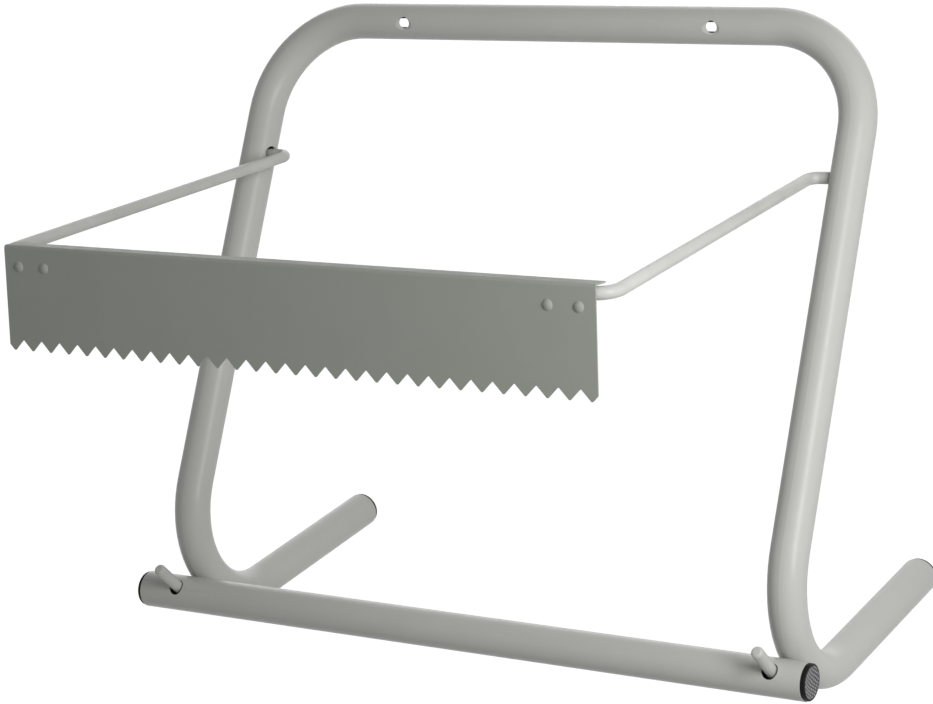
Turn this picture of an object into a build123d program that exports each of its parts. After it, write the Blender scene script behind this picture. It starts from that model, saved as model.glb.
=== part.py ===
"""Wall-mounted roll holder: a bent tube frame, a roll bar that lifts off two pegs, and a swinging toothed cutter."""

import os
from math import asin, cos, radians, sin, sqrt, tan

from build123d import *

os.makedirs("parts", exist_ok=True)

# Frame tube
tube_diameter = 25.0
tube_wall = 1.5
leg_spacing = 460.0
leg_length = 460.0
leg_lean = 32.5
corner_radius = 69.0
foot_radius = 66.0

# Screw holes in the top rail: a bevelled access hole in front, a slot at the wall
screw_spacing = 240.0
screw_access_diameter = 8.2
screw_access_rise = 2.0
screw_bevel_diameter = 12.4
screw_bevel_depth = 0.9
screw_slot_width = 6.0
screw_slot_length = 44.0
screw_slot_drop = 3.5

# Plastic plugs in the tube ends
plug_flange = 3.0
plug_inset = 0.6
plug_edge_radius = 1.0
plug_dish_depth = 1.2
plug_dish_share = 0.78
plug_insert = 10.0
plug_wall = 1.6
plug_fit = 0.05
fin_count = 2
fin_thickness = 1.2
fin_height = 0.9

# Roll bar
bar_diameter = 25.0
bar_wall = 1.5
bar_overhang_left = 37.2
bar_overhang_right = 20.3
bar_seat_angle = 26.2
bar_seat_gap = 0.3

# Pegs that hold the roll bar on the lower bends
peg_diameter = 8.0
peg_clearance = 1.5
peg_seat_gap = 0.4
peg_shift = 4.0
peg_rise = 51.0
peg_reach = 25.0
peg_bend_radius = 9.0
peg_bend_gap = 0.5
peg_root_gap = 0.05
peg_tip_radius = 2.0

# Weld round the root of each peg
weld_radius = 2.2
weld_sink_share = 0.5
weld_fit = 0.02

# Cutter bail
wire_diameter = 8.0
wire_front_bend = 13.0
wire_pivot_bend = 8.0
wire_insert = 5.0
pivot_drop = 100.5
pivot_clearance = 1.5
pivot_seat_gap = 0.3
pivot_seat_angle = 65.0
bail_reach = 295.0
bail_rise = 4.1
bail_back_width = 407.0
bail_side_margin = 7.0

# Blade
blade_length = 422.5
blade_height = 66.5
blade_thickness = 1.0
blade_flange = 12.0
blade_fold_radius = 1.0
blade_tilt = 9.5
tooth_count = 30
tooth_pitch = 14.3
tooth_depth = 7.0
tooth_land = 0.8
tooth_root_radius = 0.9

# Clips and rivets behind the blade's upper corners
clip_thickness = 1.0
clip_width = 28.0
clip_end_margin = 7.0
clip_leg_margin = 0.9
clip_top_gap = 0.1
clip_fit = 0.03
rivet_spacing = 20.0
rivet_shank_diameter = 3.2
rivet_head_diameter = 7.0
rivet_head_height = 1.3
rivet_tail_diameter = 4.2
rivet_tail_height = 1.0
rivet_strap_gap = 0.15
rivet_fit = 0.05

# Extra length of every cutting solid past the face it cuts
overrun = 5.0

# Derived positions, with the wall at Y = 0 and the screw slots at Z = 0
tube_radius = tube_diameter / 2
bar_radius = bar_diameter / 2
peg_radius = peg_diameter / 2
wire_radius = wire_diameter / 2
leg_x = leg_spacing / 2
rail_y = -tube_radius
rail_z = screw_slot_drop
lean = radians(leg_lean)
apex_y = rail_y - leg_length * sin(lean)
apex_z = rail_z - leg_length * cos(lean)
pivot_y = rail_y - pivot_drop * sin(lean)
pivot_z = rail_z - pivot_drop * cos(lean)

half_foot_angle = radians((90 - leg_lean) / 2)
bend_y = apex_y + foot_radius / tan(half_foot_angle)
bend_z = apex_z + foot_radius
seat = radians(bar_seat_angle)
seat_distance = foot_radius + tube_radius + bar_radius + bar_seat_gap
bar_y = bend_y - seat_distance * cos(seat)
bar_z = bend_z - seat_distance * sin(seat)

rise = radians(bail_rise)
front_y = pivot_y - bail_reach * cos(rise)
front_z = pivot_z + bail_reach * sin(rise)
tilt = radians(blade_tilt)
blade_frame = Plane(
    origin=(0, front_y, front_z), x_dir=(1, 0, 0), z_dir=(0, -cos(tilt), sin(tilt))
)
clip_x = blade_length / 2 - clip_end_margin - clip_width / 2
blade_top = wire_radius + clip_thickness + clip_top_gap + blade_thickness
rivet_drop = wire_radius + clip_thickness + rivet_strap_gap + rivet_tail_diameter / 2


bottom_centre = (Align.CENTER, Align.CENTER, Align.MIN)
top_centre = (Align.CENTER, Align.CENTER, Align.MAX)


def rounded_path(points, radii):
    """A line through the points, with each inner corner rounded."""
    points = [Vector(*point) for point in points]
    start = points[0]
    edges = []
    for before, corner, after, radius in zip(points, points[1:], points[2:], radii):
        to_before = (before - corner).normalized()
        to_after = (after - corner).normalized()
        half_angle = radians(to_before.get_angle(to_after)) / 2
        setback = radius / tan(half_angle)
        inward = (to_before + to_after).normalized()
        middle = corner + inward * (radius / sin(half_angle) - radius)
        arc_start = corner + to_before * setback
        arc_end = corner + to_after * setback
        edges.append(Line(start, arc_start))
        edges.append(ThreePointArc(arc_start, middle, arc_end))
        start = arc_end
    edges.append(Line(start, points[-1]))
    return Wire(edges)


def rod_along(path, radius):
    """A round rod that follows the path."""
    section = Plane(origin=path @ 0, z_dir=path % 0) * Circle(radius)
    return sweep(section, path=path)


def frame_path():
    tip_y = -plug_flange
    points = [
        (-leg_x, tip_y, apex_z),
        (-leg_x, apex_y, apex_z),
        (-leg_x, rail_y, rail_z),
        (leg_x, rail_y, rail_z),
        (leg_x, apex_y, apex_z),
        (leg_x, tip_y, apex_z),
    ]
    return rounded_path(points, [foot_radius, corner_radius, corner_radius, foot_radius])


def drill(origin, direction, radius, depth):
    """A round cutter that starts at the origin and runs along the direction."""
    return Plane(origin=origin, z_dir=direction) * Cylinder(radius, depth, align=bottom_centre)


def screw_openings(side):
    """The bevelled access hole in front and the lower slot at the wall of one rail screw."""
    x = side * screw_spacing / 2
    access_z = rail_z + screw_access_rise
    access_radius = screw_access_diameter / 2
    depth = tube_radius + overrun
    access = drill((x, rail_y, access_z), (0, -1, 0), access_radius, depth)
    face_y = rail_y - sqrt(tube_radius**2 - screw_access_rise**2)
    flare = (screw_bevel_diameter / 2 - access_radius) / screw_bevel_depth
    bevel_height = screw_bevel_depth + overrun
    bevel = Plane(origin=(x, face_y + screw_bevel_depth, access_z), z_dir=(0, -1, 0)) * Cone(
        access_radius, access_radius + flare * bevel_height, bevel_height, align=bottom_centre
    )
    wall_side = Plane(origin=(x, rail_y, 0), x_dir=(1, 0, 0), z_dir=(0, 1, 0))
    slot = extrude(wall_side * SlotOverall(screw_slot_length, screw_slot_width), amount=depth)
    return access, bevel, slot


def pivot_hole(side):
    """The oversize hole in a leg's inner wall; the wire lies low and far back in it."""
    hang = pivot_clearance - pivot_seat_gap
    turn = radians(pivot_seat_angle)
    origin = (side * leg_x, pivot_y - hang * sin(turn), pivot_z + hang * cos(turn))
    return drill(origin, (-side, 0, 0), wire_radius + pivot_clearance, tube_radius + overrun)


def frame_tube():
    path = frame_path()
    tube = rod_along(path, tube_radius) - rod_along(path, tube_radius - tube_wall)
    for side in (-1, 1):
        for cutter in screw_openings(side):
            tube -= cutter
        tube -= pivot_hole(side)
    return tube


def end_plug(origin, outward, outer_radius, wall, dished):
    """A finned insert with a rounded flange that closes one tube end."""
    bore = outer_radius - wall - plug_fit
    core = bore - fin_height
    head = outer_radius - plug_inset
    flange = Cylinder(head, plug_flange, align=bottom_centre)
    flange = fillet(flange.edges().group_by(Axis.Z)[-1], plug_edge_radius)
    if dished:
        dish_radius = head * plug_dish_share
        ball_radius = (dish_radius**2 + plug_dish_depth**2) / (2 * plug_dish_depth)
        flange -= Pos(0, 0, plug_flange - plug_dish_depth + ball_radius) * Sphere(ball_radius)
    insert = Cylinder(core, plug_insert, align=top_centre)
    fin_pitch = plug_insert / fin_count
    for number in range(fin_count):
        fin = Cylinder(bore, fin_thickness, align=top_centre)
        insert += Pos(0, 0, -fin_pitch * (number + 0.5)) * fin
    insert -= Cylinder(core - plug_wall, plug_insert, align=top_centre)
    return Plane(origin=origin, z_dir=outward) * (flange + insert)


def stub_plug(side):
    return end_plug((side * leg_x, -plug_flange, apex_z), (0, 1, 0), tube_radius, tube_wall, False)


def bar_end(side):
    overhang = bar_overhang_left if side < 0 else bar_overhang_right
    return side * (leg_x + overhang - plug_flange)


def bar_plug(side):
    return end_plug((bar_end(side), bar_y, bar_z), (side, 0, 0), bar_radius, bar_wall, True)


def peg_x(side):
    return side * leg_x - peg_shift


def peg_direction():
    angle = radians(peg_rise)
    return (0, -cos(angle), sin(angle))


def roll_bar():
    """A tube with two oversize cross holes that hang on the upper side of the pegs."""
    length = bar_end(1) - bar_end(-1)
    start = Plane(origin=(bar_end(-1), bar_y, bar_z), z_dir=(1, 0, 0))
    bar = extrude(start * (Circle(bar_radius) - Circle(bar_radius - bar_wall)), amount=length)
    angle = radians(peg_rise)
    hang = peg_clearance - peg_seat_gap
    hole_y = bar_y - hang * sin(angle)
    hole_z = bar_z - hang * cos(angle)
    for side in (-1, 1):
        across = Plane(origin=(peg_x(side), hole_y, hole_z), z_dir=peg_direction())
        bar -= across * Cylinder(peg_radius + peg_clearance, bar_diameter + overrun)
    return bar


def peg_points(side):
    """The tip, elbow and root of a hooked peg; the root stands square on the skin of the lower bend."""
    angle = radians(peg_rise)
    above = bar_radius + peg_reach
    below = bar_radius + peg_bend_radius + peg_bend_gap
    tip = Vector(peg_x(side), bar_y - above * cos(angle), bar_z + above * sin(angle))
    elbow = Vector(peg_x(side), bar_y + below * cos(angle), bar_z - below * sin(angle))
    middle = Vector(side * leg_x, bend_y, bend_z)
    level = Vector(side * leg_x, elbow.Y, elbow.Z)
    core = middle + (level - middle).normalized() * foot_radius
    root = core + (elbow - core).normalized() * (tube_radius + peg_root_gap)
    return tip, elbow, root


def roll_peg(side):
    path = rounded_path(peg_points(side), [peg_bend_radius])
    peg = rod_along(path, peg_radius)
    tip_edge = peg.edges().sort_by(Axis.Z)[-1]
    return fillet(tip_edge, peg_tip_radius)


def peg_weld(side, frame_rod):
    """A weld bead round the root of a peg, laid on the skin of the lower bend."""
    tip, elbow, root = peg_points(side)
    ring_radius = peg_radius + weld_radius * weld_sink_share
    bead = Torus(ring_radius, weld_radius) - Cylinder(peg_radius + weld_fit, tube_diameter)
    return Plane(origin=root, z_dir=elbow - root) * bead - frame_rod


def bail_point(x, along):
    return (x, pivot_y - along * cos(rise), pivot_z + along * sin(rise))


def bail_wire():
    end_x = leg_x + wire_insert
    back_x = bail_back_width / 2
    front_x = blade_length / 2 + bail_side_margin
    points = [
        bail_point(-end_x, 0),
        bail_point(-back_x, 0),
        bail_point(-front_x, bail_reach),
        bail_point(front_x, bail_reach),
        bail_point(back_x, 0),
        bail_point(end_x, 0),
    ]
    bends = [wire_pivot_bend, wire_front_bend, wire_front_bend, wire_pivot_bend]
    return rod_along(rounded_path(points, bends), wire_radius)


def tooth_notches():
    """The row of rounded V notches that leaves the teeth standing."""
    half_mouth = (tooth_pitch - tooth_land) / 2
    spread = half_mouth * (tooth_depth + overrun) / tooth_depth
    notch = make_face(
        Polyline((-spread, -overrun), (spread, -overrun), (0, tooth_depth), close=True)
    )
    notch = fillet(notch.vertices().sort_by(Axis.Y)[-1], tooth_root_radius)
    lower_edge = blade_top - blade_height
    row = GridLocations(tooth_pitch, 0, tooth_count + 1, 1)
    return [Pos(0, lower_edge, 0) * place * notch for place in row]


def rivet_places(side):
    middle = side * clip_x
    return [middle - rivet_spacing / 2, middle + rivet_spacing / 2]


def across_blade(section, middle, width):
    """A side-on section, drawn forward and up, drawn out to a width about its middle."""
    start = Plane(origin=(middle + width / 2, 0, 0), x_dir=(0, 0, 1), z_dir=(-1, 0, 0))
    return extrude(start * section, amount=width)


def tear_blade():
    back = wire_radius
    front = back + blade_thickness
    top = blade_top
    lower_edge = top - blade_height
    profile = Polyline(
        (front, lower_edge),
        (front, top),
        (front - blade_flange, top),
        (front - blade_flange, top - blade_thickness),
        (back, top - blade_thickness),
        (back, lower_edge),
        close=True,
    )
    section = make_face(profile)
    outer_corner = section.vertices().sort_by_distance((front, top))[0]
    section = fillet(outer_corner, blade_fold_radius + blade_thickness)
    inner_corner = section.vertices().sort_by_distance((back, top - blade_thickness))[0]
    section = fillet(inner_corner, blade_fold_radius)
    sheet = across_blade(section, 0, blade_length)
    for notch in tooth_notches():
        sheet -= extrude(notch, amount=front + overrun)
    for side in (-1, 1):
        for x in rivet_places(side):
            sheet -= Pos(x, -rivet_drop, back) * Cylinder(
                rivet_shank_diameter / 2 + rivet_fit, blade_thickness + overrun
            )
    return blade_frame * sheet


def wire_clip(side):
    """A strap bent round the back of the wire, with a riveted leg below it."""
    outer = wire_radius + clip_thickness
    inner = wire_radius + clip_fit
    back = wire_radius
    strap = Circle(outer) + Pos(back / 2, 0) * Rectangle(back, 2 * outer)
    strap -= Pos(back + outer / 2, 0) * Rectangle(outer, 2 * outer)
    strap -= Circle(inner) + Pos(outer / 2, 0) * Rectangle(outer, 2 * inner)
    lip = back - blade_fold_radius - clip_top_gap
    strap -= Pos(lip + outer / 2, outer / 2) * Rectangle(outer, outer)
    leg_height = rivet_drop + rivet_tail_diameter / 2 + clip_leg_margin - inner
    leg = Pos(back - clip_thickness / 2, -inner - leg_height / 2)
    strap += leg * Rectangle(clip_thickness, leg_height)
    clip = across_blade(strap, side * clip_x, clip_width)
    for x in rivet_places(side):
        clip -= Pos(x, -rivet_drop, back) * Cylinder(
            rivet_shank_diameter / 2 + rivet_fit, clip_thickness + overrun
        )
    return blade_frame * clip


def clip_rivet(x):
    """A rivet with a domed head in front of the blade and a pressed tail behind the clip."""
    front = wire_radius + blade_thickness
    behind = wire_radius - clip_thickness
    head_radius = rivet_head_diameter / 2
    dome_radius = (head_radius**2 + rivet_head_height**2) / (2 * rivet_head_height)
    dome = Pos(0, 0, rivet_head_height - dome_radius) * Sphere(dome_radius)
    dome &= Cylinder(head_radius + overrun, rivet_head_height + overrun, align=bottom_centre)
    shank = Cylinder(rivet_shank_diameter / 2, front - behind, align=top_centre)
    tail = Pos(0, 0, behind - front) * Cylinder(
        rivet_tail_diameter / 2, rivet_tail_height, align=top_centre
    )
    return blade_frame * Pos(x, -rivet_drop, front) * (dome + shank + tail)


def save(shape, name):
    export_step(shape, f"parts/{name}.step")


side_names = {-1: "left", 1: "right"}
frame_rod = rod_along(frame_path(), tube_radius)
save(frame_tube(), "frame_tube")
save(roll_bar(), "roll_bar")
save(bail_wire(), "bail_wire")
save(tear_blade(), "tear_blade")
for side, name in side_names.items():
    save(stub_plug(side), f"stub_plug_{name}")
    save(bar_plug(side), f"bar_plug_{name}")
    save(roll_peg(side), f"roll_peg_{name}")
    save(peg_weld(side, frame_rod), f"peg_weld_{name}")
    save(wire_clip(side), f"wire_clip_{name}")
    for number, x in enumerate(sorted(rivet_places(side), key=abs)):
        place = ("inner", "outer")[number]
        save(clip_rivet(x), f"clip_rivet_{name}_{place}")
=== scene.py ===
import bpy
import math
from mathutils import Matrix, Vector


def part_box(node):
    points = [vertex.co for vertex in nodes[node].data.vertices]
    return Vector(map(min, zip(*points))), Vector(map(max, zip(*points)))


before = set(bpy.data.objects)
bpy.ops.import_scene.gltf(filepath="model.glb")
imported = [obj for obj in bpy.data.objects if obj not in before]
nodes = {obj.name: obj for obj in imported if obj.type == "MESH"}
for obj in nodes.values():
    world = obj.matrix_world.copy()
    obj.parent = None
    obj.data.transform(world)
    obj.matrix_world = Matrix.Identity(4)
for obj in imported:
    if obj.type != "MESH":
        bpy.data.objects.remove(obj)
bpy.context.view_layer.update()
scene = bpy.context.scene

MM = 0.001
WHITE = (1, 1, 1, 1)

# Part of a noise texture's output that is stretched over a full range
NOISE_LOW = 0.3
NOISE_HIGH = 0.7

# Paint: clouds of colour, patches of gloss and fine orange peel
CLOUD_SCALE = 26
CLOUD_DETAIL = 4
CLOUD_ROUGHNESS = 0.6
PATCH_SCALE = 120
PATCH_DETAIL = 3
PEEL_DETAIL = 2
PEEL_STRENGTH = 0.06
PEEL_DEPTH = 0.3 * MM

# Face of the bar plugs: black plastic with a dish and two sets of crossing ribs; the dish's grey and its
# lighter rib stripes are painted light, and the near-black ring at its rim is painted shade
DISH_RADIUS = 10.3 * MM
PAINTED_SHADE_RIM_FADE = 0.3 * MM
RIB_PITCH = 2.2 * MM
RIB_TURN = 45
RIB_DISTORTION = 2.5
RIB_DETAIL = 2.0
RIB_PAINTED_LIGHT_FROM = 0.7
RIB_STRENGTH = 0.25
RIB_DEPTH = 0.3 * MM
DISH_PATCH_SCALE = 300
DISH_ROUGHNESS = (0.4, 0.55)
DISH_GLOSS = 0.1

# Phase in radians that a wave texture of scale 1 runs through in one metre
WAVE_UNIT = 20

# Floor and world
FLOOR_Z = -1.25
FLOOR_SIZE = 60
FLOOR_COLOUR = (0.6, 0.6, 0.6, 1)
FLOOR_ROUGHNESS = 0.9
FLOOR_GLOW = 0.8
FILL_LEVEL = 0.26
BACKDROP_LEVEL = 1.0

# Lamps: places in metres, strengths in watts or as sun strength
KEY_PLACE = (1.05, -0.72, 0.25)
KEY_AIM = (0.0, -0.2, -0.2)
KEY_WIDTH = 0.3
KEY_HEIGHT = 0.8
KEY_WATTS = 11.5
BACK_TOWARD = (-0.4, 1.0, 0.35)
BACK_STRENGTH = 0.8
BACK_SPREAD = 60

# Camera, fitted to the photograph's own lines
SENSOR_WIDTH = 36
LENS = 107.457
SHIFT_X = -0.0643
CLIP_END = 100
CAMERA_PLACE = (0.94856, -1.61962, 0.41155)
CAMERA_TURN = (
    (0.86174, -0.07068, 0.50240),
    (0.49480, 0.33596, -0.80144),
    (-0.11215, 0.93922, 0.32448),
)


# Node helpers
def new_material(name):
    """A material with its node tree and its Principled shader."""
    mat = bpy.data.materials.new(name)
    mat.use_nodes = True
    tree = mat.node_tree
    return mat, tree, tree.nodes["Principled BSDF"]


def node(tree, kind, **values):
    """A new node with its sockets, or else its settings, set by name."""
    made = tree.nodes.new(kind)
    for key, value in values.items():
        if key in made.inputs:
            made.inputs[key].default_value = value
        else:
            setattr(made, key, value)
    return made


def object_coords(tree):
    return node(tree, "ShaderNodeTexCoord").outputs["Object"]


def noise(tree, vector, scale, detail, rough=0.5):
    made = node(tree, "ShaderNodeTexNoise", Scale=scale, Detail=detail, Roughness=rough)
    tree.links.new(vector, made.inputs["Vector"])
    return made.outputs["Fac"]


def two_tone(tree, fac, dark, light, dark_to, light_from):
    """Colour that runs from dark to light between two values of fac."""
    made = node(tree, "ShaderNodeValToRGB")
    low, high = made.color_ramp.elements
    low.position = dark_to
    low.color = (*dark, 1)
    high.position = light_from
    high.color = (*light, 1)
    tree.links.new(fac, made.inputs["Fac"])
    return made.outputs["Color"]


def spread(tree, fac, low, high, from_low=NOISE_LOW, from_high=NOISE_HIGH):
    """fac between from_low and from_high, stretched to lie between low and high."""
    made = node(tree, "ShaderNodeMapRange")
    made.inputs["From Min"].default_value = from_low
    made.inputs["From Max"].default_value = from_high
    made.inputs["To Min"].default_value = low
    made.inputs["To Max"].default_value = high
    tree.links.new(fac, made.inputs["Value"])
    return made.outputs["Result"]


def multiply(tree, first, second):
    made = node(tree, "ShaderNodeMath", operation="MULTIPLY")
    tree.links.new(first, made.inputs[0])
    tree.links.new(second, made.inputs[1])
    return made.outputs[0]


def bump(tree, bsdf, height, strength, distance):
    made = node(tree, "ShaderNodeBump", Strength=strength, Distance=distance)
    tree.links.new(height, made.inputs["Height"])
    tree.links.new(made.outputs["Normal"], bsdf.inputs["Normal"])


def backdrop_rays(tree):
    """1 for rays that should see a white backdrop, 0 for those that light the object."""
    path = node(tree, "ShaderNodeLightPath")
    seen = path.outputs["Is Camera Ray"]
    for kind in ("Is Transmission Ray", "Is Glossy Ray"):
        either = node(tree, "ShaderNodeMath", operation="MAXIMUM")
        tree.links.new(seen, either.inputs[0])
        tree.links.new(path.outputs[kind], either.inputs[1])
        seen = either.outputs[0]
    return seen


# Materials
def powder_coat(name, dark, light, rough, grain, gloss):
    """Matt or satin surface with cloudy colour and fine orange peel."""
    mat, tree, bsdf = new_material(name)
    place = object_coords(tree)
    cloud = noise(tree, place, CLOUD_SCALE, CLOUD_DETAIL, CLOUD_ROUGHNESS)
    colour = two_tone(tree, cloud, dark, light, NOISE_LOW, NOISE_HIGH)
    tree.links.new(colour, bsdf.inputs["Base Color"])
    patches = noise(tree, place, PATCH_SCALE, PATCH_DETAIL)
    tree.links.new(spread(tree, patches, *rough), bsdf.inputs["Roughness"])
    bsdf.inputs["Specular IOR Level"].default_value = gloss
    bump(tree, bsdf, noise(tree, place, grain, PEEL_DETAIL), PEEL_STRENGTH, PEEL_DEPTH)
    return mat


def ribs(tree, centred, turn_deg):
    """Fine parallel ribs across the bar's axis, turned about it."""
    turned = node(tree, "ShaderNodeMapping", Rotation=(math.radians(turn_deg), 0, 0))
    tree.links.new(centred, turned.inputs["Vector"])
    waves = node(tree, "ShaderNodeTexWave", bands_direction="Y")
    waves.inputs["Distortion"].default_value = RIB_DISTORTION
    waves.inputs["Detail"].default_value = RIB_DETAIL
    waves.inputs["Scale"].default_value = 2 * math.pi / (WAVE_UNIT * RIB_PITCH)
    tree.links.new(turned.outputs["Vector"], waves.inputs["Vector"])
    return waves.outputs["Fac"]


def painted_light_plug_face(name, painted_shade_rim, dark, light):
    """Black moulded plug with a cross-ribbed dish in its face, given painted light: a grey dish with
    lighter rib stripes, and a near-black ring of painted shade at the rim.
    """
    mat, tree, bsdf = new_material(name)
    low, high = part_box("bar_plug_right")
    axis_y = (low[1] + high[1]) / 2
    axis_z = (low[2] + high[2]) / 2
    # Places measured from the bar's axis, flat along it
    mapping = node(tree, "ShaderNodeMapping", Location=(0, -axis_y, -axis_z), Scale=(0, 1, 1))
    tree.links.new(object_coords(tree), mapping.inputs["Vector"])
    centred = mapping.outputs["Vector"]
    radius = node(tree, "ShaderNodeVectorMath", operation="LENGTH")
    tree.links.new(centred, radius.inputs[0])
    # Painted shade: outside the dish radius the colour turns to a near-black ring
    on_painted_shade_rim = spread(tree, radius.outputs["Value"], 0, 1, DISH_RADIUS - PAINTED_SHADE_RIM_FADE, DISH_RADIUS + PAINTED_SHADE_RIM_FADE)
    # The crossing ribs are a real relief in the bump, and painted light in the colour as lighter stripes
    rib_relief_and_painted_light = multiply(tree, ribs(tree, centred, RIB_TURN), ribs(tree, centred, -RIB_TURN))
    painted_face_mix = node(tree, "ShaderNodeMix", data_type="RGBA")
    tree.links.new(on_painted_shade_rim, painted_face_mix.inputs["Factor"])
    tree.links.new(two_tone(tree, rib_relief_and_painted_light, dark, light, 0, RIB_PAINTED_LIGHT_FROM), painted_face_mix.inputs["A"])
    painted_face_mix.inputs["B"].default_value = (*painted_shade_rim, 1)
    tree.links.new(painted_face_mix.outputs["Result"], bsdf.inputs["Base Color"])
    patches = noise(tree, object_coords(tree), DISH_PATCH_SCALE, PATCH_DETAIL)
    tree.links.new(spread(tree, patches, *DISH_ROUGHNESS), bsdf.inputs["Roughness"])
    bsdf.inputs["Specular IOR Level"].default_value = DISH_GLOSS
    bump(tree, bsdf, rib_relief_and_painted_light, RIB_STRENGTH, RIB_DEPTH)
    return mat


# A roughness range that reached down to 0.27 left hard-edged patches in the picture, so it starts higher
frame_paint = powder_coat(
    "frame_paint",
    dark=(0.518, 0.521, 0.493),
    light=(0.538, 0.541, 0.513),
    rough=(0.29, 0.36),
    grain=900,
    gloss=0.2,
)
wire_paint = powder_coat(
    "wire_paint",
    dark=(0.50, 0.50, 0.475),
    light=(0.58, 0.58, 0.555),
    rough=(0.29, 0.38),
    grain=700,
    gloss=0.2,
)
# Painted shade: the blade's paint, also used on the wire clips, is set darker than the frame paint,
# standing for the shade the blade lies in
blade_paint = powder_coat(
    "blade_paint",
    dark=(0.35, 0.368, 0.328),
    light=(0.36, 0.378, 0.338),
    rough=(0.42, 0.52),
    grain=1100,
    gloss=0.04,
)
# Painted shade: the rivets take the blade's darker tone
rivet_paint = powder_coat(
    "rivet_paint",
    dark=(0.352, 0.37, 0.33),
    light=(0.372, 0.39, 0.35),
    rough=(0.34, 0.44),
    grain=1100,
    gloss=0.1,
)
plug_plastic = powder_coat(
    "plug_plastic",
    dark=(0.018, 0.018, 0.018),
    light=(0.028, 0.028, 0.028),
    rough=(0.5, 0.65),
    grain=1500,
    gloss=0.2,
)
# Painted light and shade on the black plug's face: a lit grey dish and a shaded near-black rim
plug_face_painted_light_and_shade = painted_light_plug_face(
    "plug_face_painted_light_and_shade",
    painted_shade_rim=(0.006, 0.006, 0.006),
    dark=(0.06, 0.06, 0.062),
    light=(0.36, 0.36, 0.366),
)

# Each node's finish, by the start of its name
finish_of = {
    "frame_tube": frame_paint,
    "roll_bar": frame_paint,
    "roll_peg": wire_paint,
    "peg_weld": frame_paint,
    "stub_plug": plug_plastic,
    "bar_plug": plug_face_painted_light_and_shade,
    "bail_wire": wire_paint,
    "tear_blade": blade_paint,
    "wire_clip": blade_paint,
    "clip_rivet": rivet_paint,
}
for name, obj in nodes.items():
    finish = next(mat for key, mat in finish_of.items() if name.startswith(key))
    obj.data.materials.clear()
    obj.data.materials.append(finish)

# Pale floor, white to the camera apart from the object's shadow
bpy.ops.mesh.primitive_plane_add(size=FLOOR_SIZE, location=(0, 0, FLOOR_Z))
floor = bpy.context.object
floor.name = "floor"
floor_white, tree, bsdf = new_material("floor_white")
bsdf.inputs["Base Color"].default_value = FLOOR_COLOUR
bsdf.inputs["Roughness"].default_value = FLOOR_ROUGHNESS
bsdf.inputs["Emission Color"].default_value = WHITE
glow = spread(tree, backdrop_rays(tree), 0, FLOOR_GLOW, 0, 1)
tree.links.new(glow, bsdf.inputs["Emission Strength"])
floor.data.materials.append(floor_white)

# World: white behind the object, a soft fill on it
world = bpy.data.worlds.new("studio")
scene.world = world
world.use_nodes = True
tree = world.node_tree
background = tree.nodes["Background"]
background.inputs["Color"].default_value = WHITE
level = spread(tree, backdrop_rays(tree), FILL_LEVEL, BACKDROP_LEVEL, 0, 1)
tree.links.new(level, background.inputs["Strength"])


# Lamps
def add_lamp(name, data, toward):
    """Put a lamp in the scene whose light comes from the direction toward."""
    obj = bpy.data.objects.new(name, data)
    obj.rotation_mode = "QUATERNION"
    obj.rotation_quaternion = Vector(toward).to_track_quat("Z", "Y")
    scene.collection.objects.link(obj)
    return obj


def sun(name, toward, strength, spread_deg):
    """Soft light from a wide disc in the sky."""
    data = bpy.data.lights.new(name, "SUN")
    data.energy = strength
    data.angle = math.radians(spread_deg)
    add_lamp(name, data, toward)


def softbox(name, place, aim, width, height, watts):
    """Rectangular studio lamp that stands at place and faces aim."""
    data = bpy.data.lights.new(name, "AREA")
    data.shape = "RECTANGLE"
    data.size = width
    data.size_y = height
    data.energy = watts
    obj = add_lamp(name, data, Vector(place) - Vector(aim))
    obj.location = place
    obj.visible_camera = False


softbox("key", KEY_PLACE, KEY_AIM, KEY_WIDTH, KEY_HEIGHT, KEY_WATTS)
sun("back", BACK_TOWARD, BACK_STRENGTH, BACK_SPREAD)

# Camera
data = bpy.data.cameras.new("camera")
data.sensor_width = SENSOR_WIDTH
data.lens = LENS
data.shift_x = SHIFT_X
data.clip_end = CLIP_END
camera = bpy.data.objects.new("camera", data)
camera.matrix_world = Matrix.Translation(CAMERA_PLACE) @ Matrix(CAMERA_TURN).to_4x4()
scene.collection.objects.link(camera)
scene.camera = camera

scene.view_settings.view_transform = "Standard"
